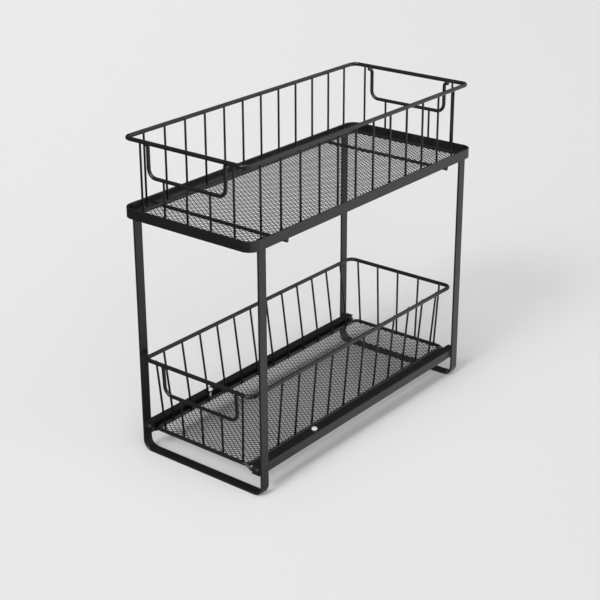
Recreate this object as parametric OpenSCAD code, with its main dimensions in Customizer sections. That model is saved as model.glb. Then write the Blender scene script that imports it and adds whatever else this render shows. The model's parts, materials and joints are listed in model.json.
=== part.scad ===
// Two-tier pull-out basket organiser: a flat-bar frame with a lift-out wire basket
// on its shelf ring and a wire drawer that slides forward on two channel rails.
// X is the width, Y the depth with the front at -Y, and Z is up from the floor.

/* [Frame] */
// Overall width, over the shelf ring
frame_w = 185; // [160:1:260]
// Overall depth, over the shelf ring
frame_l = 420; // [340:1:560]
// Height of the shelf ring's upper edge above the floor
shelf_h = 303.5; // [240:0.5:400]
// Width of the flat bar
bar_w = 12; // [8:0.5:18]
// Thickness of the flat bar
bar_t = 2.5; // [1.5:0.1:4]
// Width of the eased edge along the flat bar
bar_ease = 0.4; // [0.2:0.1:0.6]
// Outer radius of the shelf ring's corners
ring_corner_r = 14; // [8:1:24]
// Outer radius of the bends at the legs' lower ends
leg_corner_r = 20; // [10:1:28]
// Diameter of the cross wires that carry the upper basket
shelf_wire_d = 4; // [3:0.5:6]
// Distance of each cross wire from the end of the ring
shelf_wire_inset = 58; // [30:1:90]

/* [Rails] */
// Height of the drawer's floor frame, to the middle of its wire, above the rails' underside
rail_below_floor = 7.1; // [5:0.1:10]
// Height of the rail channel
rail_h = 11.1; // [10:0.1:20]
// Width of the rail's upper flange
rail_top_flange = 11; // [10:0.5:15]
// Width of the rail's lower flange
rail_low_flange = 12; // [9:0.5:15]
// Thickness of the rail's sheet
rail_t = 1.2; // [0.8:0.1:2]
// Distance of the stop pegs from the front end of the frame
peg_inset = 120; // [60:1:180]
// Distance of the stop pegs' centres from the rail's web
peg_from_web = 7.5; // [6:0.5:8]
// Diameter of a stop peg's head
peg_head_d = 6.8; // [6:0.2:10]
// Height of a stop peg's head
peg_head_h = 2; // [1.5:0.1:4]
// Diameter of a stop peg's shank
peg_shank_d = 3.2; // [2.6:0.2:4]
// Clearance round a stop peg's shank in its hole
peg_fit = 0.05; // [0.02:0.01:0.1]

/* [Wire] */
// Diameter of the rim wires
rim_d = 4.8; // [3.5:0.1:7]
// Diameter of the upright wires
wire_d = 2.2; // [1.6:0.1:3]
// Diameter of the floor frame wires and the drawer's arms
floor_d = 4.6; // [3:0.1:5.5]
// Diameter of the handle wires
handle_d = 3.5; // [2.5:0.1:5]
// Bend radius of the rims' corners, to the middle of the wire
rim_corner_r = 8.5; // [6:0.5:20]
// Bend radius of the floor frames' corners, to the middle of the wire
floor_corner_r = 7; // [5:0.5:15]
// Half the distance between a handle's uprights
handle_half_w = 54; // [30:1:56]
// Depth of a handle's lower wire below the rim
handle_drop = 39.2; // [25:0.1:60]
// Bend radius of a handle's lower corners
handle_r = 10; // [6:0.5:15]
// How far an upright wire's end stands above the rim
wire_poke = 0.4; // [0:0.1:1.5]
// Depth to which a weld joins two crossing wires
weld = 0.1; // [0.05:0.01:0.15]

/* [Upper basket] */
// Height from the underside of the floor frame to the top of the rim
basket_h = 92.45; // [60:0.05:140]
// Gap between the basket's side wires and the shelf ring
basket_side_gap = 7.4; // [5:0.1:12]
// Gap between the basket's front wires and the shelf ring
basket_front_gap = 2.6; // [2:0.1:8]
// Gap between the basket's rear wires and the shelf ring
basket_rear_gap = 6.2; // [2:0.1:10]
// Gap between the basket and the cross wires that it rests on
basket_rest_gap = 0.3; // [0.1:0.05:0.5]
// Spacing of the upper basket's side wires
basket_side_pitch = 32.65; // [20:0.05:50]
// Spacing of the upper basket's end wires
basket_end_pitch = 32.6; // [20:0.1:33]

/* [Drawer] */
// Height of the drawer's floor frame above the ground, to the middle of the wire
drawer_floor_z = 33.2; // [30:0.1:60]
// Height of the drawer's wall, between the middles of the floor wire and the rim
drawer_h = 87.05; // [60:0.05:140]
// Gap between the drawer's floor frame and the rails' upper flanges
drawer_side_gap = 5.2; // [1:0.1:8]
// How far the rim stands out over the floor frame at each side
drawer_side_flare = 9.7; // [5:0.1:14]
// How far the rim stands out over the floor frame at the front
drawer_front_flare = 5; // [0:0.1:10]
// How far the rim stands out over the floor frame at the rear
drawer_rear_flare = 0.3; // [0:0.1:10]
// Distance of the floor frame's front wire from the frame's front end
drawer_front_inset = 16.3; // [14:0.1:30]
// Distance of the floor frame's rear wire from the frame's rear end
drawer_rear_inset = 18.2; // [14:0.1:30]
// Spacing of the drawer's side wires
drawer_side_pitch = 30.5; // [20:0.05:50]
// Spacing of the drawer's end wires at the rim
drawer_end_pitch = 32; // [20:0.1:33]
// Spacing of the drawer's end wires at the floor
drawer_end_pitch_low = 29.3; // [18:0.1:30]

/* [Glides] */
// Clearance above and below a glide in its channel
glide_fit = 0.25; // [0.15:0.05:0.5]
// Clearance between a glide and the channel's web
glide_side_fit = 0.3; // [0.2:0.05:0.6]
// Length of a glide along its arm
glide_l = 7.5; // [6:0.5:9]
// Thickness of a glide's closed end
glide_cap_t = 2; // [1:0.5:3]
// Clearance round the arm in a glide's bore
glide_bore_fit = 0.05; // [0.02:0.01:0.1]

/* [Mesh] */
// Thickness of the mesh sheet
mesh_t = 1; // [0.6:0.1:1.4]
// Length of a diamond along the width
mesh_cell_x = 25.5; // [25:0.5:40]
// Length of a diamond along the depth
mesh_cell_y = 17.7; // [17.5:0.1:30]
// Width of a strand between two diamonds
mesh_strand = 2.6; // [1.5:0.1:4]
// Width of the solid border round the mesh
mesh_border = 2; // [1:0.5:4]
// Gap between the mesh sheet and the floor frame wire
mesh_gap = 0.1; // [0.05:0.05:0.3]
// Depth of the mesh sheet's middle below the middle of the floor frame wire
mesh_drop = 0.3; // [0:0.1:0.6]

/* [Hidden] */
$fn = 48;

left = -1;
right = 1;
front = -1;
rear = 1;

// Flat-bar frame
ring_half_w = frame_w/2;
ring_half_l = frame_l/2;
ring_in_w = ring_half_w - bar_t;
ring_in_l = ring_half_l - bar_t;
ring_z = shelf_h - bar_w;
leg_half_w = ring_in_w;
leg_end_y = ring_half_l - ring_corner_r;
leg_mid_y = leg_end_y - bar_w/2;
leg_top_z = shelf_h - bar_ease;
leg_bend_r = leg_corner_r - bar_t/2;
shelf_wire_y = ring_half_l - shelf_wire_inset;
shelf_wire_z = ring_z - shelf_wire_d/2 + weld/2;
shelf_wire_top = shelf_wire_z + shelf_wire_d/2;

// Rails, which follow the drawer's floor
rail_web_x = leg_half_w - bar_t;
rail_z = drawer_floor_z - rail_below_floor;
rail_top_z = rail_z + rail_h;
rail_mid_z = rail_z + rail_h/2;
rail_inner_h = rail_h - 2*rail_t;
rail_bend_r = rail_t + 0.3;
peg_x = rail_web_x - peg_from_web;
peg_y = -ring_half_l + peg_inset;
peg_tip_z = rail_z + rail_t + 1.5;
peg_barb_h = 1.6;
peg_barb_w = 0.45;

// Offsets of wires that are welded side by side
wire_to_rim = (rim_d + wire_d)/2 - weld;
wire_to_floor = (floor_d + wire_d)/2 - weld;

// Upper basket, to the middles of its wires; the upright wires stand on the floor frame
basket_wire_x = ring_in_w - basket_side_gap - wire_d/2;
basket_wire_front = -ring_in_l + basket_front_gap + wire_d/2;
basket_wire_rear = ring_in_l - basket_rear_gap - wire_d/2;
basket_mid_y = (basket_wire_front + basket_wire_rear)/2;
basket_wire_half_l = (basket_wire_rear - basket_wire_front)/2;
basket_floor_z = shelf_wire_top + basket_rest_gap + floor_d/2;
basket_rim_z = basket_floor_z - floor_d/2 + basket_h - rim_d/2;
basket_wire_low_z = basket_floor_z + floor_d/2 - weld/2;

// Drawer, to the middles of its wires; the upright wires are inside the floor frame
drawer_floor_x = rail_web_x - rail_top_flange - drawer_side_gap - floor_d/2;
drawer_floor_front = -ring_half_l + drawer_front_inset;
drawer_floor_rear = ring_half_l - drawer_rear_inset;
drawer_rim_x = drawer_floor_x + drawer_side_flare;
drawer_rim_front = drawer_floor_front - drawer_front_flare;
drawer_rim_rear = drawer_floor_rear + drawer_rear_flare;
drawer_rim_z = drawer_floor_z + drawer_h;
drawer_floor_mid = (drawer_floor_front + drawer_floor_rear)/2;
drawer_rim_mid = (drawer_rim_front + drawer_rim_rear)/2;
drawer_wire_low_z = drawer_floor_z - mesh_drop + mesh_t/2 + 0.15;

// Wires in a row, as many as the row's length takes with a margin at each end
wire_margin = 14;
function row_count(length, pitch) = floor((length - 2*wire_margin)/pitch) + 1;
function row_places(count, pitch) = [for (i = [0:count - 1]) (i - (count - 1)/2)*pitch];
basket_side_count = row_count(2*basket_wire_half_l, basket_side_pitch);
basket_end_count = row_count(2*basket_wire_x, basket_end_pitch);
drawer_side_count = row_count(drawer_floor_rear - drawer_floor_front, drawer_side_pitch);
drawer_end_count = row_count(2*drawer_rim_x, drawer_end_pitch);

// Handles
handle_tip_r = 5;
handle_tip_l = 1.5;
handle_tip_drop = round(10*sqrt(pow((rim_d + handle_d)/2 - weld, 2) - pow(wire_to_rim, 2)))/10;

// Drawer arms and glides
glide_d = rail_inner_h - 2*glide_fit;
glide_end_x = rail_web_x - rail_t - glide_side_fit;
glide_open_x = glide_end_x - glide_l;
glide_mid_x = (glide_open_x + glide_end_x)/2;
glide_nose = glide_cap_t*0.6;
arm_end_x = glide_end_x - glide_cap_t;
arm_root_x = drawer_floor_x - floor_corner_r + 3;
arm_root_z = drawer_floor_z - 0.4;
arm_cope = 0.04;

// Points along an arc, from angle a to angle b
function arc(centre, r, a, b, steps = 4) =
    [for (i = [0:steps]) centre + r*[cos(a + (b - a)*i/steps), sin(a + (b - a)*i/steps)]];

// A rounded rectangle's outline, from its half sizes
function rounded_outline(hx, hy, r) = concat(
    arc([hx - r, hy - r], r, 0, 90), arc([r - hx, hy - r], r, 90, 180),
    arc([r - hx, r - hy], r, 180, 270), arc([hx - r, r - hy], r, 270, 360));

// Cross section of the flat bar, t along x and w along y
module bar_section() {
    t = bar_t/2;
    w = bar_w/2;
    e = bar_ease;
    polygon([[t, e - w], [t, w - e], [t - e, w], [e - t, w],
             [-t, w - e], [-t, e - w], [e - t, -w], [t - e, -w]]);
}

// A straight round wire between two points
module rod(a, b, d) {
    run = b - a;
    translate(a)
        rotate([0, acos(run.z/norm(run)), atan2(run.y, run.x)])
            cylinder(h = norm(run), d = d);
}

// A quarter or other part of a ring of round wire, in the XY plane
module wire_bend(centre, r, start, turn, d) {
    translate([centre.x, centre.y, 0])
        rotate([0, 0, start])
            rotate_extrude(angle = turn)
                translate([r, 0])
                    circle(d = d);
}

// A flat closed loop of round wire, from its half sizes to the middle of the wire
module wire_loop(hx, hy, r, d) {
    for (s = [-1, 1]) {
        rod([s*hx, r - hy, 0], [s*hx, hy - r, 0], d);
        rod([r - hx, s*hy, 0], [hx - r, s*hy, 0], d);
    }
    wire_bend([hx - r, hy - r], r, 0, 90, d);
    wire_bend([r - hx, hy - r], r, 90, 90, d);
    wire_bend([r - hx, r - hy], r, 180, 90, d);
    wire_bend([hx - r, r - hy], r, 270, 90, d);
}

// The shelf's edge: flat bar on edge, bent into a rounded rectangle
module shelf_ring() {
    r = ring_corner_r - bar_t/2;
    hx = ring_half_w - bar_t/2;
    hy = ring_half_l - bar_t/2;
    color([0.10, 0.10, 0.10])
    translate([0, 0, ring_z + bar_w/2]) {
        for (s = [-1, 1]) {
            translate([s*hx, hy - r, 0])
                rotate([90, 0, 0])
                    linear_extrude(2*(hy - r))
                        bar_section();
            translate([r - hx, s*hy, 0])
                rotate([90, 0, 90])
                    linear_extrude(2*(hx - r))
                        bar_section();
        }
        for (quarter = [0:3])
            translate([(quarter == 0 || quarter == 3 ? 1 : -1)*(hx - r), (quarter < 2 ? 1 : -1)*(hy - r), 0])
                rotate([0, 0, 90*quarter])
                    rotate_extrude(angle = 90)
                        translate([r, 0])
                            bar_section();
    }
}

// A pair of legs with the bar on the floor between them, bent from one flat bar
module leg_loop(end) {
    x = leg_half_w - bar_t/2;
    r = leg_bend_r;
    color([0.10, 0.10, 0.10])
    translate([0, end*leg_mid_y, 0]) {
        for (s = [-1, 1]) {
            translate([s*x, 0, bar_t/2 + r])
                linear_extrude(leg_top_z - bar_t/2 - r)
                    bar_section();
            translate([s*(x - r), 0, bar_t/2 + r])
                rotate([90, s > 0 ? 90 : 180, 0])
                    rotate_extrude(angle = 90)
                        translate([r, 0])
                            bar_section();
        }
        translate([r - x, 0, bar_t/2])
            rotate([0, 90, 0])
                linear_extrude(2*(x - r))
                    bar_section();
    }
}

module front_leg_loop() {
    leg_loop(front);
}

module rear_leg_loop() {
    leg_loop(rear);
}

// A round wire across the ring's underside
module shelf_wire(end) {
    color([0.10, 0.10, 0.10])
    rod([-ring_half_w, end*shelf_wire_y, shelf_wire_z], [ring_half_w, end*shelf_wire_y, shelf_wire_z],
        shelf_wire_d);
}

module front_shelf_wire() {
    shelf_wire(front);
}

module rear_shelf_wire() {
    shelf_wire(rear);
}

// Cross section of the right rail: a C open towards -x, with its web's outer face at x = 0
module rail_section() {
    r = rail_bend_r;
    ri = rail_bend_r - rail_t;
    polygon(concat(
        [[-rail_low_flange, 0]], arc([-r, r], r, 270, 360),
        arc([-r, rail_h - r], r, 0, 90), [[-rail_top_flange, rail_h]],
        [[-rail_top_flange, rail_h - rail_t]], arc([-r, rail_h - r], ri, 90, 0),
        arc([-r, r], ri, 360, 270), [[-rail_low_flange, rail_t]]));
}

// A channel rail with the hole for its stop peg
module rail(side) {
    color([0.10, 0.10, 0.10])
    mirror([side < 0 ? 1 : 0, 0, 0])
        difference() {
            translate([rail_web_x, leg_end_y, rail_z])
                rotate([90, 0, 0])
                    linear_extrude(2*leg_end_y)
                        rail_section();
            translate([peg_x, peg_y, rail_top_z - 2*rail_t])
                cylinder(h = 3*rail_t, d = peg_shank_d + 2*peg_fit);
        }
}

module left_rail() {
    rail(left);
}

module right_rail() {
    rail(right);
}

// A white push-in peg: button head, shank through the flange and a barb below it
module stop_peg(side) {
    edge = peg_head_h*0.45;
    below = rail_top_z - rail_t - 0.1;
    color([0.88, 0.88, 0.86])
    translate([side*peg_x, peg_y, 0]) {
        translate([0, 0, rail_top_z])
            cylinder(h = peg_head_h - edge, d = peg_head_d);
        translate([0, 0, rail_top_z + peg_head_h - edge])
            cylinder(h = edge, d1 = peg_head_d, d2 = peg_head_d - 2*edge);
        translate([0, 0, peg_tip_z])
            cylinder(h = rail_top_z - peg_tip_z, d = peg_shank_d);
        translate([0, 0, below - peg_barb_h])
            cylinder(h = peg_barb_h, d1 = peg_shank_d, d2 = peg_shank_d + 2*peg_barb_w);
    }
}

module left_stop_peg() {
    stop_peg(left);
}

module right_stop_peg() {
    stop_peg(right);
}

// A U-shaped handle in the XZ plane: its origin is on the wires' line at the rim's height.
// Its upper ends turn out sideways and lie along the rim, where they are welded.
module handle() {
    x = handle_half_w;
    low = -handle_drop;
    tip = -handle_tip_drop;
    turn = tip - handle_tip_r;
    color([0.10, 0.10, 0.10])
    rotate([90, 0, 0]) {
        rod([handle_r - x, low, 0], [x - handle_r, low, 0], handle_d);
        for (s = [-1, 1])
            mirror([s < 0 ? 1 : 0, 0, 0]) {
                wire_bend([x - handle_r, low + handle_r], handle_r, 270, 90, handle_d);
                rod([x, low + handle_r, 0], [x, turn, 0], handle_d);
                wire_bend([x + handle_tip_r, turn], handle_tip_r, 90, 90, handle_d);
                rod([x + handle_tip_r, tip, 0], [x + handle_tip_r + handle_tip_l, tip, 0], handle_d);
            }
    }
}

module basket_rim() {
    color([0.10, 0.10, 0.10])
    translate([0, basket_mid_y, basket_rim_z])
        wire_loop(basket_wire_x + wire_to_rim, basket_wire_half_l + wire_to_rim, rim_corner_r, rim_d);
}

module basket_front_handle() {
    translate([0, basket_wire_front, basket_rim_z])
        handle();
}

module basket_rear_handle() {
    translate([0, basket_wire_rear, basket_rim_z])
        handle();
}

// The upright wires along one side of the upper basket
module basket_side_wires(side) {
    color([0.10, 0.10, 0.10])
    for (y = row_places(basket_side_count, basket_side_pitch))
        translate([side*basket_wire_x, basket_mid_y + y, basket_wire_low_z])
            cylinder(h = basket_rim_z + rim_d/2 + wire_poke - basket_wire_low_z, d = wire_d);
}

module basket_left_wires() {
    basket_side_wires(left);
}

module basket_right_wires() {
    basket_side_wires(right);
}

// The upright wires at one end of the upper basket; those under the handle end at it
module basket_end_wires(y) {
    full = basket_rim_z + rim_d/2 + wire_poke;
    under_handle = basket_rim_z - handle_drop - handle_d/2 + weld;
    color([0.10, 0.10, 0.10])
    for (x = row_places(basket_end_count, basket_end_pitch))
        translate([x, y, basket_wire_low_z])
            cylinder(h = (abs(x) < handle_half_w ? under_handle : full) - basket_wire_low_z, d = wire_d);
}

module basket_front_wires() {
    basket_end_wires(basket_wire_front);
}

module basket_rear_wires() {
    basket_end_wires(basket_wire_rear);
}

module basket_floor_frame() {
    color([0.10, 0.10, 0.10])
    translate([0, basket_mid_y, basket_floor_z])
        wire_loop(basket_wire_x, basket_wire_half_l, floor_corner_r, floor_d);
}

// A mesh sheet in the XY plane: diamonds in staggered rows, halved where they meet the border
module mesh_sheet(hx, hy, r) {
    net_x = hx - mesh_border;
    net_y = hy - mesh_border;
    columns = round(2*net_x/mesh_cell_x);
    rows = round(2*net_y/mesh_cell_y);
    cell = [2*net_x/columns, 2*net_y/rows];
    open = 1 - mesh_strand*norm(cell)/(cell.x*cell.y);
    a = cell.x/2*open;
    b = cell.y/2*open;
    strand_x = cell.x/2 - a;
    strand_y = cell.y/2 - b;
    whole = concat(
        [for (i = [0:columns - 1], j = [0:rows - 1]) [(i + 0.5)*cell.x - net_x, (j + 0.5)*cell.y - net_y]],
        [for (i = [1:columns - 1], j = [1:rows - 1]) [i*cell.x - net_x, j*cell.y - net_y]]);
    holes = concat(
        [for (c = whole) [c + [a, 0], c + [0, b], c - [a, 0], c - [0, b]]],
        [for (j = [1:rows - 1], s = [-1, 1]) let (c = [s*net_x, j*cell.y - net_y])
            [c + [0, b], c - [0, b], c - [s*a, 0]]],
        [for (i = [1:columns - 1], s = [-1, 1]) let (c = [i*cell.x - net_x, s*net_y])
            [c + [a, 0], c - [a, 0], c - [0, s*b]]]);
    outline = rounded_outline(hx, hy, r);
    linear_extrude(mesh_t, center = true)
        difference() {
            polygon(outline);
            for (hole = holes)
                polygon(hole);
        }
}

module basket_mesh_floor() {
    inner = floor_d/2 + mesh_gap;
    color([0.14, 0.14, 0.14])
    translate([0, basket_mid_y, basket_floor_z - mesh_drop])
        mesh_sheet(basket_wire_x - inner, basket_wire_half_l - inner, floor_corner_r - inner);
}

module drawer_rim() {
    color([0.10, 0.10, 0.10])
    translate([0, drawer_rim_mid, drawer_rim_z])
        wire_loop(drawer_rim_x, (drawer_rim_rear - drawer_rim_front)/2, rim_corner_r, rim_d);
}

// A point on a drawer wire's line at height z, between its floor point and its rim point
function on_wire(low, high, z) = low + (high - low)*(z - low.z)/(high.z - low.z);

module drawer_handle() {
    high = [drawer_rim_front + wire_to_rim, drawer_rim_z];
    low = [drawer_floor_front + wire_to_floor, drawer_floor_z];
    translate([0, high.x, high.y])
        rotate([atan2(low.x - high.x, high.y - low.y), 0, 0])
            handle();
}

// The leaning wires along one side of the drawer
module drawer_side_wires(side) {
    color([0.10, 0.10, 0.10])
    for (y = row_places(drawer_side_count, drawer_side_pitch)) {
        low = [side*(drawer_floor_x - wire_to_floor), drawer_floor_mid + y, drawer_floor_z];
        high = [side*(drawer_rim_x - wire_to_rim), drawer_rim_mid + y, drawer_rim_z];
        rod(on_wire(low, high, drawer_wire_low_z), on_wire(low, high, drawer_rim_z + rim_d/2 + wire_poke),
            wire_d);
    }
}

module drawer_left_wires() {
    drawer_side_wires(left);
}

module drawer_right_wires() {
    drawer_side_wires(right);
}

// The wires at one end of the drawer; where there is a handle, those under it end at it
module drawer_end_wires(end, floor_y, rim_y, handled) {
    lows = row_places(drawer_end_count, drawer_end_pitch_low);
    highs = row_places(drawer_end_count, drawer_end_pitch);
    under_handle = drawer_rim_z - handle_drop - handle_d/2 + weld;
    full = drawer_rim_z + rim_d/2 + wire_poke;
    color([0.10, 0.10, 0.10])
    for (i = [0:drawer_end_count - 1]) {
        low = [lows[i], floor_y - end*wire_to_floor, drawer_floor_z];
        high = [highs[i], rim_y - end*wire_to_rim, drawer_rim_z];
        top = handled && abs(highs[i]) < handle_half_w ? under_handle : full;
        rod(on_wire(low, high, drawer_wire_low_z), on_wire(low, high, top), wire_d);
    }
}

module drawer_front_wires() {
    drawer_end_wires(front, drawer_floor_front, drawer_rim_front, true);
}

module drawer_rear_wires() {
    drawer_end_wires(rear, drawer_floor_rear, drawer_rim_rear, false);
}

module drawer_floor_frame() {
    color([0.10, 0.10, 0.10])
    translate([0, drawer_floor_mid, drawer_floor_z])
        wire_loop(drawer_floor_x, (drawer_floor_rear - drawer_floor_front)/2, floor_corner_r, floor_d);
}

module drawer_mesh_floor() {
    inner = floor_d/2 + mesh_gap;
    color([0.14, 0.14, 0.14])
    translate([0, drawer_floor_mid, drawer_floor_z - mesh_drop])
        mesh_sheet(drawer_floor_x - inner, (drawer_floor_rear - drawer_floor_front)/2 - inner,
                   floor_corner_r - inner);
}

// A point on the middle line of a right-hand arm, which slopes down to the middle of its glide
function arm_point(x, y) =
    [x, y, arm_root_z + (x - arm_root_x)*(rail_mid_z - arm_root_z)/(glide_mid_x - arm_root_x)];

// The pair of arms at one end: from the floor frame's corners, where each is coped round the
// frame's wire, down and out under the rails' upper flanges into the glides
module drawer_arms(end) {
    y = end == front ? drawer_floor_front : drawer_floor_rear;
    corner = [drawer_floor_x - floor_corner_r, y - end*floor_corner_r];
    color([0.10, 0.10, 0.10])
    for (s = [-1, 1])
        mirror([s < 0 ? 1 : 0, 0, 0])
            difference() {
                rod(arm_point(arm_root_x, y), arm_point(arm_end_x, y), floor_d);
                translate([0, 0, drawer_floor_z])
                    wire_bend(corner, floor_corner_r, end == front ? 270 : 0, 90, floor_d + arm_cope);
            }
}

module drawer_front_arms() {
    drawer_arms(front);
}

module drawer_rear_arms() {
    drawer_arms(rear);
}

// A plastic cap on an arm's end: round, with a blind bore along the arm and a chamfered outer end
module glide(side, y) {
    color([0.05, 0.05, 0.05])
    mirror([side < 0 ? 1 : 0, 0, 0])
        difference() {
            translate([glide_open_x, y, rail_mid_z])
                rotate([0, 90, 0]) {
                    cylinder(h = glide_l - glide_nose, d = glide_d);
                    translate([0, 0, glide_l - glide_nose])
                        cylinder(h = glide_nose, d1 = glide_d, d2 = glide_d - 2*glide_nose);
                }
            rod(arm_point(glide_open_x - glide_cap_t, y), arm_point(arm_end_x + glide_bore_fit, y),
                floor_d + 2*glide_bore_fit);
        }
}

module front_left_glide() {
    glide(left, drawer_floor_front);
}

module front_right_glide() {
    glide(right, drawer_floor_front);
}

module rear_left_glide() {
    glide(left, drawer_floor_rear);
}

module rear_right_glide() {
    glide(right, drawer_floor_rear);
}

shelf_ring();
front_leg_loop();
rear_leg_loop();
front_shelf_wire();
rear_shelf_wire();
left_rail();
right_rail();
left_stop_peg();
right_stop_peg();
basket_rim();
basket_front_handle();
basket_rear_handle();
basket_left_wires();
basket_right_wires();
basket_front_wires();
basket_rear_wires();
basket_floor_frame();
basket_mesh_floor();
drawer_rim();
drawer_handle();
drawer_left_wires();
drawer_right_wires();
drawer_front_wires();
drawer_rear_wires();
drawer_floor_frame();
drawer_mesh_floor();
drawer_front_arms();
drawer_rear_arms();
front_left_glide();
front_right_glide();
rear_left_glide();
rear_right_glide();
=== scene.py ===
import json
import math

import bmesh
import bpy
from mathutils import Matrix, Vector


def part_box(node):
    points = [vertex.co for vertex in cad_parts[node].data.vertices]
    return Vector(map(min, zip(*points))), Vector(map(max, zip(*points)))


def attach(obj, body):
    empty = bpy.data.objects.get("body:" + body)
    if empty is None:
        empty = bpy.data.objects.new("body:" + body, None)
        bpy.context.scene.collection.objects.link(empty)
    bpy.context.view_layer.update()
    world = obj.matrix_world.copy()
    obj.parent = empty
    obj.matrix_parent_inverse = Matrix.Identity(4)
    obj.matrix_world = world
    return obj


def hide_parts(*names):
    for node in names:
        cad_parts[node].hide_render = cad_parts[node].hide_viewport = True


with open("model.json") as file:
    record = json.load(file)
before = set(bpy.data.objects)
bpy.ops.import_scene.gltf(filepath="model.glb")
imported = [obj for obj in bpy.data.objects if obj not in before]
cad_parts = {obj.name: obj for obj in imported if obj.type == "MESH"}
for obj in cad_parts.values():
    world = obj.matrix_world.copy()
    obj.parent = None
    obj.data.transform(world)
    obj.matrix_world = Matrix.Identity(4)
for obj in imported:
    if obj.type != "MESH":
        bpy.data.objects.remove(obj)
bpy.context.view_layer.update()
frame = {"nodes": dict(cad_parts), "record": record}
nodes = frame["nodes"]

MM = 0.001


# ---------------------------------------------------------------- shader maths

class Sock:
    """A shader socket that takes part in sums and products like a number."""

    def __init__(self, shade, socket):
        self.shade, self.socket = shade, socket

    def calc(self, operation, a, b):
        return self.shade.node("ShaderNodeMath", {"operation": operation}, {0: a, 1: b})

    def __add__(self, other):
        return self.calc("ADD", self, other)

    def __sub__(self, other):
        return self.calc("SUBTRACT", self, other)

    def __rsub__(self, other):
        return self.calc("SUBTRACT", other, self)

    def __mul__(self, other):
        return self.calc("MULTIPLY", self, other)

    __radd__ = __add__
    __rmul__ = __mul__


class Shade:
    """A node tree under construction."""

    def __init__(self, tree):
        self.tree = tree
        tree.nodes.clear()

    def node(self, kind, settings=None, sockets=None, out=0):
        """Adds a node: its settings first, then its sockets' values or links; returns one output."""
        n = self.tree.nodes.new(kind)
        for key, value in (settings or {}).items():
            setattr(n, key, value)
        for key, value in (sockets or {}).items():
            if isinstance(value, Sock):
                self.tree.links.new(value.socket, n.inputs[key])
            else:
                n.inputs[key].default_value = value
        return Sock(self, n.outputs[out]) if n.outputs else None

    def place(self):
        return self.node("ShaderNodeTexCoord", out="Object")

    def noise(self, at, size, detail):
        """Cloudy noise whose spots are about size across, in metres."""
        return self.node("ShaderNodeTexNoise", None, {"Vector": at, "Scale": 1 / size, "Detail": detail})

    def mix(self, share, a, b):
        """A colour between a and b."""
        return self.node("ShaderNodeMix", {"data_type": "RGBA"}, {0: share, 6: a, 7: b}, out=2)

    def limit(self, value, low, high):
        """value from low to high, stretched to 0 to 1 with soft ends."""
        return self.node("ShaderNodeMapRange", {"interpolation_type": "SMOOTHSTEP"},
                         {0: value, 1: low, 2: high})

    def along(self, place, way):
        """How far a place or a direction lies along a fixed way."""
        return self.node("ShaderNodeVectorMath", {"operation": "DOT_PRODUCT"}, {0: place, 1: way},
                         out="Value")


def grey(level, warm=0.0):
    return (level * (1 + warm), level, level * (1 - warm), 1.0)


def new_material(name):
    made = bpy.data.materials.new(name)
    made.use_nodes = True
    return made, Shade(made.node_tree)


def finish_surface(shade, sockets):
    surface = shade.node("ShaderNodeBsdfPrincipled", None, sockets)
    shade.node("ShaderNodeOutputMaterial", None, {"Surface": surface})


# ---------------------------------------------------------------- finishes

COAT_CLOUD = 22 * MM
COAT_PEEL = 1.5 * MM
COAT_GRAIN = 0.35 * MM
COAT_SHEEN_SPREAD = 0.1
COAT_GRAIN_SPREAD = 0.08
COAT_DARK_SPOT = 0.75
COAT_LIGHT_SPOT = 1.3


def powder_coat(name, level, rough, peel_depth):
    """Satin black powder coat: cloudy sheen, orange peel and a fine grain."""
    made, s = new_material(name)
    at = s.place()
    cloud = s.noise(at, COAT_CLOUD, 3.0)
    ripple = s.noise(at, COAT_PEEL, 1.0)
    grain = s.noise(at, COAT_GRAIN, 1.0)
    colour = s.mix(cloud * 0.7 + grain * 0.3, grey(level * COAT_DARK_SPOT), grey(level * COAT_LIGHT_SPOT))
    roughness = (cloud - 0.5) * COAT_SHEEN_SPREAD + (grain - 0.5) * COAT_GRAIN_SPREAD + rough
    bump = s.node("ShaderNodeBump", None, {
        "Strength": 0.6, "Distance": peel_depth, "Height": ripple * 0.8 + grain * 0.2})
    finish_surface(s, {"Base Color": colour, "Roughness": roughness, "Normal": bump, "IOR": 1.5})
    return made


PLASTIC_CLOUD = 4 * MM
PLASTIC_GRAIN = 0.25 * MM
PLASTIC_GRAIN_DEPTH = 0.02 * MM
PLASTIC_GRAIN_SPREAD = 0.1
PLASTIC_DARK_SPOT = 0.93
PLASTIC_LIGHT_SPOT = 1.05


def moulded_plastic(name, level, rough, warm=0.0):
    """Moulded plastic: an even colour with a fine satin texture."""
    made, s = new_material(name)
    at = s.place()
    cloud = s.noise(at, PLASTIC_CLOUD, 2.0)
    grain = s.noise(at, PLASTIC_GRAIN, 2.0)
    colour = s.mix(cloud, grey(level * PLASTIC_DARK_SPOT, warm), grey(level * PLASTIC_LIGHT_SPOT, warm))
    roughness = (grain - 0.5) * PLASTIC_GRAIN_SPREAD + rough
    bump = s.node("ShaderNodeBump", None, {
        "Strength": 0.4, "Distance": PLASTIC_GRAIN_DEPTH, "Height": grain})
    finish_surface(s, {"Base Color": colour, "Roughness": roughness, "Normal": bump})
    return made


BAR_COAT = powder_coat("bar_powder_coat", 0.010, 0.34, 0.030 * MM)
WIRE_COAT = powder_coat("wire_powder_coat", 0.010, 0.30, 0.020 * MM)
MESH_COAT = powder_coat("mesh_powder_coat", 0.011, 0.38, 0.010 * MM)
PEG_PLASTIC = moulded_plastic("peg_white_plastic", 0.78, 0.35, 0.01)
GLIDE_PLASTIC = moulded_plastic("glide_black_plastic", 0.006, 0.5)
COAT_OF_SLOT = {"black_bar": BAR_COAT, "black_wire": WIRE_COAT, "black_mesh": MESH_COAT,
                "white_peg": PEG_PLASTIC, "black_glide": GLIDE_PLASTIC}


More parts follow.
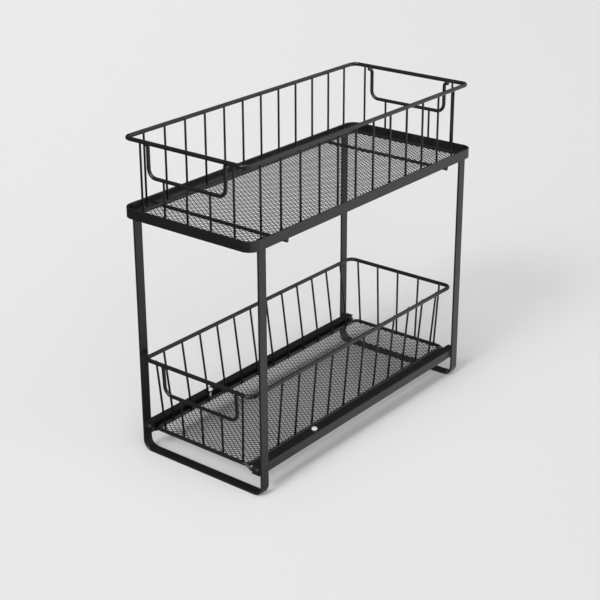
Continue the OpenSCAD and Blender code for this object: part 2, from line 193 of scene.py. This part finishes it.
def coat_frame_nodes():
    """Gives every node of the model the finish of its material slot."""
    for part in frame["record"]["subparts"]:
        for slot in nodes[part["node"]].material_slots:
            slot.material = COAT_OF_SLOT[part["material_slot"]]


# ---------------------------------------------------------------- helpers for new pieces

SHARP_EDGE = math.radians(30)
SAME_PLACE = 0.001 * MM


def add_piece(name, bm, coat, body, stands_for=()):
    """Makes a bmesh into a piece that rides on a body, with its place in its mesh."""
    mesh = bpy.data.meshes.new(name)
    bm.to_mesh(mesh)
    bm.free()
    mesh.materials.append(coat)
    piece = bpy.data.objects.new(name, mesh)
    bpy.context.scene.collection.objects.link(piece)
    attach(piece, body)
    if stands_for:
        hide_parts(*stands_for)
    return piece


def smooth(bm):
    for f in bm.faces:
        f.smooth = True


def smooth_but_edges(bm):
    """Smooth faces with a hard line where they meet at an edge."""
    smooth(bm)
    for e in bm.edges:
        e.smooth = e.calc_face_angle(0) < SHARP_EDGE


def moved_verts(made):
    return [g for g in made["geom"] if isinstance(g, bmesh.types.BMVert)]


def turn_towards(way):
    """The turn that points the Z axis along a way."""
    return Vector(way).to_track_quat("Z", "Y").to_matrix().to_4x4()


def turn_about(degrees, axis):
    return Matrix.Rotation(math.radians(degrees), 4, axis)


def loop_middle(node):
    """The half thickness of a flat wire loop and the lowest and highest corner of its middle line."""
    low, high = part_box(node)
    r = (high.z - low.z) / 2
    return r, low + Vector((r, r, r)), high - Vector((r, r, r))


def at_height(low, high, z):
    """The point of a line from low to high at height z."""
    run = high - low
    return low + run * ((z - low.z) / run.z)


def wire_ends(node):
    """The lower and upper end of every wire in a row, from the row's own mesh."""
    bm = bmesh.new()
    bm.from_mesh(nodes[node].data)
    bmesh.ops.remove_doubles(bm, verts=bm.verts, dist=SAME_PLACE)
    left = set(bm.verts)
    ends = []
    while left:
        wire, reached = set(), [left.pop()]
        while reached:
            v = reached.pop()
            wire.add(v)
            for e in v.link_edges:
                w = e.other_vert(v)
                if w in left:
                    left.remove(w)
                    reached.append(w)
        mid = sum(v.co.z for v in wire) / len(wire)
        halves = [[v.co for v in wire if v.co.z < mid], [v.co for v in wire if v.co.z >= mid]]
        ends.append([sum(h, Vector()) / len(h) for h in halves])
    bm.free()
    return sorted(ends, key=lambda e: (e[0].x, e[0].y))


# ---------------------------------------------------------------- mesh floors

DIAMOND_X = 8.2 * MM
DIAMOND_Y = 5.35 * MM
STRAND = 0.95 * MM
STRAND_T = 0.6 * MM
STRAND_LEAN = 0.32 * MM
SHEET_CORNER = 4.6 * MM
CUT_ACCURACY = 0.0001 * MM


def diamond_lattice(half):
    """A flat lattice of diamonds that covers a sheet; each strand's two edges lean up and down."""
    cells = 2 * math.ceil(half.x / DIAMOND_X + half.y / DIAMOND_Y)
    bm = bmesh.new()
    bmesh.ops.create_grid(bm, x_segments=cells, y_segments=cells, size=cells / 2)
    bmesh.ops.rotate(bm, verts=bm.verts, cent=(0, 0, 0), matrix=Matrix.Rotation(math.pi / 4, 3, "Z"))
    bmesh.ops.scale(bm, verts=bm.verts, vec=(DIAMOND_X / math.sqrt(2), DIAMOND_Y / math.sqrt(2), 1))
    outside = [f for f in bm.faces
               if abs(f.calc_center_median().x) > half.x + DIAMOND_X / 2
               or abs(f.calc_center_median().y) > half.y + DIAMOND_Y / 2]
    bmesh.ops.delete(bm, geom=outside, context="FACES")
    windows = bm.faces[:]
    crossings = set(bm.verts)
    bmesh.ops.inset_individual(bm, faces=windows, thickness=STRAND / 2, use_even_offset=True)
    lean = {}
    for f in windows:
        centre = f.calc_center_median()
        for v in f.verts:
            if v not in crossings and abs(v.co.x - centre.x) < 0.1 * DIAMOND_X:
                lean[v] = STRAND_LEAN if v.co.y > centre.y else -STRAND_LEAN
    bmesh.ops.delete(bm, geom=windows, context="FACES_ONLY")
    for v, rise in lean.items():
        v.co.z += rise
    return bm


def cut_outside(bm, point, normal):
    """Cuts a bmesh at a plane and clears what lies on the normal's side."""
    bmesh.ops.bisect_plane(bm, geom=bm.verts[:] + bm.edges[:] + bm.faces[:], dist=CUT_ACCURACY,
                           plane_co=point, plane_no=normal, clear_outer=True)


def trim_sheet(bm, half):
    """Cuts a lattice to a rectangle with round corners."""
    for axis in (0, 1):
        for side in (-1, 1):
            normal = Vector((0, 0, 0))
            normal[axis] = side
            cut_outside(bm, normal * half[axis], normal)
    for sx in (-1, 1):
        for sy in (-1, 1):
            hub = Vector((sx * (half.x - SHEET_CORNER), sy * (half.y - SHEET_CORNER), 0))
            for turn in (15, 30, 45, 60, 75):
                a = math.radians(turn)
                normal = Vector((sx * math.cos(a), sy * math.sin(a), 0))
                cut_outside(bm, hub + normal * SHEET_CORNER, normal)
    loose = [v for v in bm.verts if not v.link_faces]
    bmesh.ops.delete(bm, geom=loose, context="VERTS")


def expanded_sheet(name, node, body):
    """A sheet of expanded metal: slit and stretched into diamonds, whose strands lean."""
    low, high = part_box(node)
    half = (high - low) / 2
    bm = diamond_lattice(half)
    trim_sheet(bm, half)
    top = bmesh.ops.extrude_face_region(bm, geom=bm.faces[:])
    bmesh.ops.translate(bm, verts=moved_verts(top), vec=(0, 0, STRAND_T))
    bmesh.ops.translate(bm, verts=bm.verts, vec=(low + high) / 2 - Vector((0, 0, STRAND_T / 2)))
    bmesh.ops.recalc_face_normals(bm, faces=bm.faces)
    return add_piece(name, bm, MESH_COAT, body, [node])


# ---------------------------------------------------------------- bent wires and bars

class BentStock:
    """Wire or bar that is run out and bent in the XZ plane, from a face across its start."""

    def __init__(self, bm, start, heading, face):
        self.bm, self.at, self.heading = bm, Vector(start), Vector(heading)
        self.end = face.edges[:]

    def run(self, length):
        made = bmesh.ops.extrude_edge_only(self.bm, edges=self.end)
        step = self.heading * length
        bmesh.ops.translate(self.bm, verts=moved_verts(made), vec=step)
        self.end = [g for g in made["geom"] if isinstance(g, bmesh.types.BMEdge)
                    and all((v.co - self.at - step).dot(self.heading) > -SAME_PLACE for v in g.verts)]
        self.at = self.at + step

    def bend(self, degrees, radius):
        """Bends the wire; a positive angle turns from +Z towards +X."""
        quarter = 90 if degrees > 0 else -90
        centre = self.at + turn_about(quarter, "Y").to_3x3() @ self.heading * radius
        angle = math.radians(degrees)
        made = bmesh.ops.spin(self.bm, geom=self.end, cent=centre, axis=(0, 1, 0), dvec=(0, 0, 0),
                              angle=angle, steps=8, use_merge=False, use_normal_flip=False,
                              use_duplicate=False)["geom_last"]
        self.end = [g for g in made if isinstance(g, bmesh.types.BMEdge)]
        turn = turn_about(degrees, "Y").to_3x3()
        self.at = centre + turn @ (self.at - centre)
        self.heading = turn @ self.heading

    def close(self):
        bmesh.ops.contextual_create(self.bm, geom=self.end)


def wire_section(bm, at, radius):
    """A round face across a wire that starts along X."""
    place = Matrix.Translation(at) @ turn_about(90, "Y")
    made = bmesh.ops.create_circle(bm, cap_ends=True, segments=14, radius=radius, matrix=place)["verts"]
    return made[0].link_faces[0]


def bar_section(bm, at, thick, wide, ease):
    """A rectangular face with eased corners across a bar that starts up or down."""
    made = bmesh.ops.create_grid(bm, x_segments=1, y_segments=1, size=0.5)["verts"]
    bmesh.ops.scale(bm, verts=made, vec=(thick, wide, 1))
    bmesh.ops.bevel(bm, geom=made, offset=ease, offset_type="OFFSET", segments=1, profile=0.5,
                    affect="VERTICES", material=-1)
    face = bm.faces[:][0]
    bmesh.ops.translate(bm, verts=face.verts[:], vec=at)
    return face


WIRE_R = 1.28 * MM
WIRE_TIP_EASE = 0.6 * MM
TOP_OVER_RIM = 0.8 * MM


def uprights(name, node, body, rim):
    """The upright wires of one side with their coat, each with a rounded upper end beside the rim."""
    top_z = loop_middle(rim)[1].z + TOP_OVER_RIM
    bm = bmesh.new()
    for low, high in wire_ends(node):
        run = high - low
        if high.z > top_z:
            run = run * ((top_z - low.z) / run.z)
        made = bmesh.ops.create_cone(bm, cap_ends=True, segments=12, radius1=WIRE_R, radius2=WIRE_R,
                                     depth=run.length)["verts"]
        top = [v for v in made if v.co.z > 0]
        edges = {e for v in top for e in v.link_edges if e.other_vert(v) in top}
        bmesh.ops.translate(bm, verts=made, vec=(0, 0, run.length / 2))
        bmesh.ops.transform(bm, matrix=Matrix.Translation(low) @ turn_towards(run), verts=made)
        bmesh.ops.bevel(bm, geom=list(edges), offset=WIRE_TIP_EASE, segments=2, profile=0.5,
                        affect="EDGES", material=-1)
    smooth(bm)
    return add_piece(name, bm, WIRE_COAT, body, [node])


HANDLE_R = 2.15 * MM
HANDLE_HALF = 54 * MM
HANDLE_DROP = 39.2 * MM
HANDLE_BEND = 10 * MM
TIP_BEND = 4 * MM
TIP_RUN = 1.5 * MM
TIP_PRESS = 0.98
TIP_WELD = (2.4 * MM, 1.1 * MM, 1.3 * MM)
TIP_WELD_SHARE = 0.45


def handle(name, node, body, rim, end, lean=0.0):
    """A U of thick wire under the rim, its two tips turned out along the rim and welded to it."""
    rim_r, rim_low, rim_high = loop_middle(rim)
    inward = rim_r + WIRE_R
    drop = math.sqrt((rim_r + HANDLE_R) ** 2 - inward ** 2) * TIP_PRESS
    upright = HANDLE_DROP - drop - TIP_BEND - HANDLE_BEND
    bm = bmesh.new()
    start = Vector((-HANDLE_HALF - TIP_BEND - TIP_RUN, 0, -drop))
    wire = BentStock(bm, start, (1, 0, 0), wire_section(bm, start, HANDLE_R))
    wire.run(TIP_RUN)
    wire.bend(90, TIP_BEND)
    wire.run(upright)
    wire.bend(-90, HANDLE_BEND)
    wire.run(2 * (HANDLE_HALF - HANDLE_BEND))
    wire.bend(-90, HANDLE_BEND)
    wire.run(upright)
    wire.bend(90, TIP_BEND)
    wire.run(TIP_RUN)
    wire.close()
    for side in (-1, 1):
        towards_rim = Vector((0, end * inward, -drop)) * TIP_WELD_SHARE
        bead(bm, Vector((side * (HANDLE_HALF + TIP_BEND), 0, 0)) + towards_rim, TIP_WELD)
    rim_y = rim_low.y if end < 0 else rim_high.y
    place = Matrix.Translation((0, rim_y - end * inward, rim_low.z)) @ Matrix.Rotation(lean, 4, "X")
    bmesh.ops.transform(bm, matrix=place, verts=bm.verts)
    bmesh.ops.recalc_face_normals(bm, faces=bm.faces)
    smooth(bm)
    return add_piece(name, bm, WIRE_COAT, body, [node])


def drawer_front_lean():
    """How far the drawer's front leans: the angle of its front wires about X."""
    low, high = wire_ends("drawer_front_wires")[0]
    return math.atan2(low.y - high.y, high.z - low.z)


BAR_T = 2.5 * MM
BAR_EASE = 0.4 * MM
LEG_BEND = 12.5 * MM


def leg_bar(name, node):
    """A pair of legs and the bar between them: one flat bar, bent down, across and up."""
    low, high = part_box(node)
    leg_run = high.z - low.z - LEG_BEND
    bend_r = LEG_BEND - BAR_T / 2
    start = Vector((low.x + BAR_T / 2, (low.y + high.y) / 2, high.z))
    bm = bmesh.new()
    bar = BentStock(bm, start, (0, 0, -1), bar_section(bm, start, BAR_T, high.y - low.y, BAR_EASE))
    bar.run(leg_run)
    bar.bend(-90, bend_r)
    bar.run(high.x - low.x - 2 * LEG_BEND)
    bar.bend(-90, bend_r)
    bar.run(leg_run)
    bar.close()
    bmesh.ops.recalc_face_normals(bm, faces=bm.faces)
    smooth_but_edges(bm)
    return add_piece(name, bm, BAR_COAT, "frame", [node])


# ---------------------------------------------------------------- drawer's arms and glides

ARM_R = 1.8 * MM
ARM_START = 60 * MM
ARM_STRAIGHT = 4.5 * MM
ARM_BEND = 6 * MM
ARM_SLANT = 28
ARM_DROP = 3.7 * MM
ARM_IN_GLIDE = 6 * MM


def bent_arms(name, node, right_glide):
    """The S-bent wires at one end of the drawer: along the floor frame, then down into the glides."""
    low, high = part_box(node)
    frame_z = loop_middle("drawer_floor_frame")[1].z
    end_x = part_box(right_glide)[0].x + ARM_IN_GLIDE
    slant = math.radians(ARM_SLANT)
    slope = (ARM_DROP - 2 * ARM_BEND * (1 - math.cos(slant))) / math.sin(slant)
    bm = bmesh.new()
    for side in (-1, 1):
        start = Vector((side * ARM_START, (low.y + high.y) / 2, frame_z))
        wire = BentStock(bm, start, (side, 0, 0), wire_section(bm, start, ARM_R))
        wire.run(ARM_STRAIGHT)
        wire.bend(side * ARM_SLANT, ARM_BEND)
        wire.run(slope)
        wire.bend(-side * ARM_SLANT, ARM_BEND)
        wire.run(end_x - abs(wire.at.x))
        wire.close()
    bmesh.ops.recalc_face_normals(bm, faces=bm.faces)
    smooth(bm)
    return add_piece(name, bm, WIRE_COAT, "drawer", [node])


GLIDE_EASE = 0.6 * MM
GLIDE_INWARD = 2.5 * MM
COLLAR_R = 2.15 * MM
COLLAR_RUN = 1.5 * MM


def turned(bm, start_x, end_x, y, z, radius, ease):
    """A round solid along X whose two end edges are eased."""
    place = Matrix.Translation(((start_x + end_x) / 2, y, z)) @ turn_about(90, "Y")
    made = bmesh.ops.create_cone(bm, cap_ends=True, segments=24, radius1=radius, radius2=radius,
                                 depth=abs(end_x - start_x), matrix=place)["verts"]
    touched = {e for v in made for e in v.link_edges}
    rings = [e for e in touched if abs(e.verts[0].co.x - e.verts[1].co.x) < SAME_PLACE]
    bmesh.ops.bevel(bm, geom=rings, offset=ease, segments=2, profile=0.5, affect="EDGES", material=-1)


def glide(name, node):
    """A glide: a round moulded body that fills the channel's mouth, with a collar round its arm."""
    low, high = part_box(node)
    side = 1 if high.x > 0 else -1
    inner, outer = (low.x, high.x) if side > 0 else (high.x, low.x)
    inner = inner - side * GLIDE_INWARD
    y = (low.y + high.y) / 2
    body_r = (high.z - low.z) / 2
    arm_z = loop_middle("drawer_floor_frame")[1].z - ARM_DROP
    bm = bmesh.new()
    turned(bm, inner, outer, y, low.z + body_r, body_r, GLIDE_EASE)
    turned(bm, inner - side * COLLAR_RUN, inner + side * COLLAR_RUN, y, arm_z, COLLAR_R, GLIDE_EASE / 2)
    bmesh.ops.recalc_face_normals(bm, faces=bm.faces)
    smooth_but_edges(bm)
    return add_piece(name, bm, GLIDE_PLASTIC, "drawer", [node])


# ---------------------------------------------------------------- welds

NECK_WELD = (1.4 * MM, 1.4 * MM, 1.6 * MM)
FOOT_WELD = (1.7 * MM, 1.7 * MM, 0.7 * MM)
SHORT_TOP_WELD = (1.6 * MM, 1.6 * MM, 1.0 * MM)
SEAM_RIPPLE = 0.14
SEAM_FLATNESS = 0.9


def bead(bm, at, size, along=(0, 0, 1)):
    """A small lump of coated weld metal; size holds its three half widths."""
    place = Matrix.Translation(at) @ turn_towards(along) @ Matrix.Diagonal((*size, 1))
    bmesh.ops.create_uvsphere(bm, u_segments=8, v_segments=6, radius=1, matrix=place)


def seam(bm, start, end, half):
    """A weld along a joint's line: overlapping lumps from start to end, every second one smaller."""
    start, end = Vector(start), Vector(end)
    count = max(2, round((end - start).length / half))
    for i in range(count):
        swell = 1 if i % 2 else 1 - SEAM_RIPPLE
        bead(bm, start.lerp(end, i / (count - 1)), (half * swell, half, half * SEAM_FLATNESS), end - start)


def basket_welds(name, body, rim, floor_frame, rows, on_frame):
    """The welds of a basket's upright wires to its rim and its floor frame.
    The wires stand on the floor frame, or pass inside it."""
    rim_z = loop_middle(rim)[1].z
    floor_r, floor_low, _ = loop_middle(floor_frame)
    bm = bmesh.new()
    for node, outward in rows:
        beside = Vector(outward) * WIRE_R
        for low, high in wire_ends(node):
            if on_frame:
                bead(bm, Vector((low.x, low.y, floor_low.z + floor_r)), FOOT_WELD)
            else:
                bead(bm, at_height(low, high, floor_low.z) + beside, NECK_WELD)
            if high.z > rim_z:
                bead(bm, at_height(low, high, rim_z) + beside, NECK_WELD)
            else:
                bead(bm, high, SHORT_TOP_WELD, high - low)
    smooth(bm)
    return add_piece(name, bm, WIRE_COAT, body)


LEG_SEAM = 0.7 * MM
LEG_SEAM_FROM_FOOT = 0.6 * MM
LEG_SEAM_FROM_TOP = 1.2 * MM
RAIL_SEAM = 0.8 * MM
RAIL_SEAM_INSET = 1.0 * MM
SHELF_WIRE_SEAM = 0.6 * MM
SHELF_WIRE_BESIDE = 1.7 * MM
SHELF_WIRE_INWARD = 0.2 * MM
SHELF_WIRE_OUTWARD = 2.3 * MM


def frame_welds():
    """The frame's seams: legs to the ring, rails to the legs, cross wires to the ring."""
    ring_low, ring_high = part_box("shelf_ring")
    rail_low, rail_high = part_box("right_rail")
    wire_low, wire_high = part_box("rear_shelf_wire")
    leg_low, leg_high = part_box("rear_leg_loop")
    wire_y = (wire_low.y + wire_high.y) / 2
    bm = bmesh.new()
    for sx in (-1, 1):
        for sy in (-1, 1):
            x, y = sx * leg_high.x, sy * leg_low.y
            for edge in (y, sy * leg_high.y):
                seam(bm, (x, edge, ring_low.z + LEG_SEAM_FROM_FOOT),
                     (x, edge, ring_high.z - LEG_SEAM_FROM_TOP), LEG_SEAM)
            x = sx * rail_high.x
            seam(bm, (x, y, rail_low.z + RAIL_SEAM_INSET),
                 (x, y, rail_high.z - RAIL_SEAM_INSET), RAIL_SEAM)
            for beside in (-SHELF_WIRE_BESIDE, SHELF_WIRE_BESIDE):
                y = sy * wire_y + beside
                seam(bm, (sx * (leg_high.x - SHELF_WIRE_INWARD), y, ring_low.z),
                     (sx * (leg_high.x + SHELF_WIRE_OUTWARD), y, ring_low.z), SHELF_WIRE_SEAM)
    smooth(bm)
    return add_piece("frame_welds", bm, BAR_COAT, "frame")


# ---------------------------------------------------------------- studio

CAMERA_PLACE = (0.9574, -1.2182, 0.8159)
CAMERA_YAW = 38.51
CAMERA_PITCH = 21.92
CAMERA_ROLL = -0.19
FOCAL_OF_WIDTH = 1412.6 / 600
LENS_SHIFT = -0.06


def set_camera():
    """The photograph's view, in degrees: turned left by the yaw, down by the pitch, with a hair of roll."""
    yaw, pitch, roll = (math.radians(a) for a in (CAMERA_YAW, CAMERA_PITCH, CAMERA_ROLL))
    ahead = Vector((-math.sin(yaw) * math.cos(pitch), math.cos(yaw) * math.cos(pitch), -math.sin(pitch)))
    right = Vector((math.cos(yaw), math.sin(yaw), 0))
    up = right.cross(ahead)
    right, up = (right * math.cos(roll) + up * math.sin(roll), up * math.cos(roll) - right * math.sin(roll))
    data = bpy.data.cameras.new("camera")
    data.sensor_width = 36
    data.lens = data.sensor_width * FOCAL_OF_WIDTH
    data.shift_y = LENS_SHIFT
    data.clip_start, data.clip_end = 0.05, 60
    camera = bpy.data.objects.new("camera", data)
    turn = Matrix((right, up, -ahead)).transposed().to_4x4()
    camera.matrix_world = Matrix.Translation(CAMERA_PLACE) @ turn
    bpy.context.scene.collection.objects.link(camera)
    bpy.context.scene.camera = camera


PALE = 0.80
# Painted light and painted shade: the floor and backdrop colour is painted lighter towards the front left
# and darker towards the right and rear, a falloff of light.
NEAR_PAINTED_LIGHT = grey(PALE * 1.03)
FAR_PAINTED_SHADE = grey(PALE * 0.96)
DARK_ROOM = grey(0.06)
PAINTED_FALLOFF_WAY = (0.78, 0.62, 0)
FLOOR_PAINTED_FALLOFF_SPAN = (-0.6, 1.0)
SKY_PAINTED_FALLOFF_SPAN = (-0.3, 0.3)
ROOM_WAY = (0.7, 0.7, 0)
ROOM_EDGE = (-0.25, 0.15)
PANEL_WAY = (0.55, 0.76, 0.34)
PANEL_EDGE = (0.62, 0.92)
FLOOR_RADIUS = 20


def studio_floor():
    """A pale seamless floor whose colour is painted darker to the right and the rear: painted shade, a
    falloff of light.
    Its front left is dark for all but the camera, so that the black coat stays black."""
    made, s = new_material("studio_floor")
    at = s.place()
    seen = s.node("ShaderNodeLightPath", out="Is Camera Ray")
    surround = s.mix(s.limit(s.along(at, ROOM_WAY), *ROOM_EDGE), DARK_ROOM, grey(PALE))
    # Painted shade: the floor's colour seen by the camera, darker to the right and rear.
    painted_falloff = s.mix(s.limit(s.along(at, PAINTED_FALLOFF_WAY), *FLOOR_PAINTED_FALLOFF_SPAN), NEAR_PAINTED_LIGHT, FAR_PAINTED_SHADE)
    diffuse = s.node("ShaderNodeBsdfDiffuse", None, {"Color": s.mix(seen, surround, painted_falloff)})
    s.node("ShaderNodeOutputMaterial", None, {"Surface": diffuse})
    bm = bmesh.new()
    bmesh.ops.create_circle(bm, cap_ends=True, radius=FLOOR_RADIUS, segments=64)
    mesh = bpy.data.meshes.new("studio_floor")
    bm.to_mesh(mesh)
    bm.free()
    mesh.materials.append(made)
    floor = bpy.data.objects.new("studio_floor", mesh)
    bpy.context.scene.collection.objects.link(floor)


def studio_world():
    """A backdrop that carries on the floor's painted falloff of light for the camera; a dark room
    with one bright panel at the right rear for the coat's reflections."""
    world = bpy.data.worlds.new("studio")
    bpy.context.scene.world = world
    world.use_nodes = True
    w = Shade(world.node_tree)
    seen = w.node("ShaderNodeLightPath", out="Is Camera Ray")
    glossy = w.node("ShaderNodeLightPath", out="Is Glossy Ray")
    way = w.node("ShaderNodeTexCoord", out="Generated")
    panel = w.limit(w.along(way, PANEL_WAY), *PANEL_EDGE) * glossy
    room = w.mix(panel, DARK_ROOM, grey(1.0))
    # Painted shade: the backdrop seen by the camera carries on the floor's painted falloff of light.
    painted_falloff = w.mix(w.limit(w.along(way, PAINTED_FALLOFF_WAY), *SKY_PAINTED_FALLOFF_SPAN), NEAR_PAINTED_LIGHT, FAR_PAINTED_SHADE)
    sky = w.node("ShaderNodeBackground", None, {"Color": w.mix(seen, room, painted_falloff), "Strength": 1.0})
    w.node("ShaderNodeOutputWorld", None, {"Surface": sky})


def add_softbox(name, on_floor, spread, azimuth, elevation, mirrored=True):
    """A far round lamp that spread degrees wide; on_floor is the light that it lays on the floor.
    Azimuth 0 is the front and 90 the right, in degrees. The coat mirrors it unless told not to."""
    a, e = math.radians(azimuth), math.radians(elevation)
    toward = Vector((math.sin(a) * math.cos(e), -math.cos(a) * math.cos(e), math.sin(e)))
    data = bpy.data.lights.new(name, "SUN")
    data.energy, data.angle = on_floor / toward.z, math.radians(spread)
    lamp = bpy.data.objects.new(name, data)
    lamp.rotation_euler = toward.to_track_quat("Z", "Y").to_euler()
    lamp.visible_glossy = mirrored
    bpy.context.scene.collection.objects.link(lamp)


def studio_lamps():
    """Soft lamps in front, overhead, beside the camera and at the right."""
    add_softbox("front_softbox", 0.64, 14, 2, 40)
    add_softbox("front_wide_softbox", 0.38, 44, 2, 45)
    add_softbox("overhead_softbox", 0.72, 30, 0, 88)
    add_softbox("front_low_softbox", 0.34, 30, 0, 22)
    add_softbox("camera_side_softbox", 0.48, 36, 45, 22, mirrored=False)
    add_softbox("right_softbox", 0.40, 50, 90, 40)


# ---------------------------------------------------------------- the whole

OUTWARD = {"left": (-1, 0, 0), "right": (1, 0, 0), "front": (0, -1, 0), "rear": (0, 1, 0)}


def basket_wires(tier, body, on_frame):
    """A basket's four rows of upright wires and their welds."""
    rim = tier + "_rim"
    rows = [(tier + "_" + side + "_wires", outward) for side, outward in OUTWARD.items()]
    for side in OUTWARD:
        uprights(tier + "_" + side + "_uprights", tier + "_" + side + "_wires", body, rim)
    basket_welds(tier + "_welds", body, rim, tier + "_floor_frame", rows, on_frame)


bpy.context.scene.view_settings.view_transform = "Standard"
set_camera()
studio_floor()
studio_world()
studio_lamps()
coat_frame_nodes()
expanded_sheet("basket_expanded_sheet", "basket_mesh_floor", "upper_basket")
expanded_sheet("drawer_expanded_sheet", "drawer_mesh_floor", "drawer")
basket_wires("basket", "upper_basket", True)
basket_wires("drawer", "drawer", False)
handle("basket_front_bent_handle", "basket_front_handle", "upper_basket", "basket_rim", -1)
handle("basket_rear_bent_handle", "basket_rear_handle", "upper_basket", "basket_rim", 1)
handle("drawer_bent_handle", "drawer_handle", "drawer", "drawer_rim", -1, drawer_front_lean())
for end in ("front", "rear"):
    bent_arms("drawer_" + end + "_bent_arms", "drawer_" + end + "_arms", end + "_right_glide")
    for side in ("left", "right"):
        glide(end + "_" + side + "_moulded_glide", end + "_" + side + "_glide")
leg_bar("front_leg_bar", "front_leg_loop")
leg_bar("rear_leg_bar", "rear_leg_loop")
frame_welds()
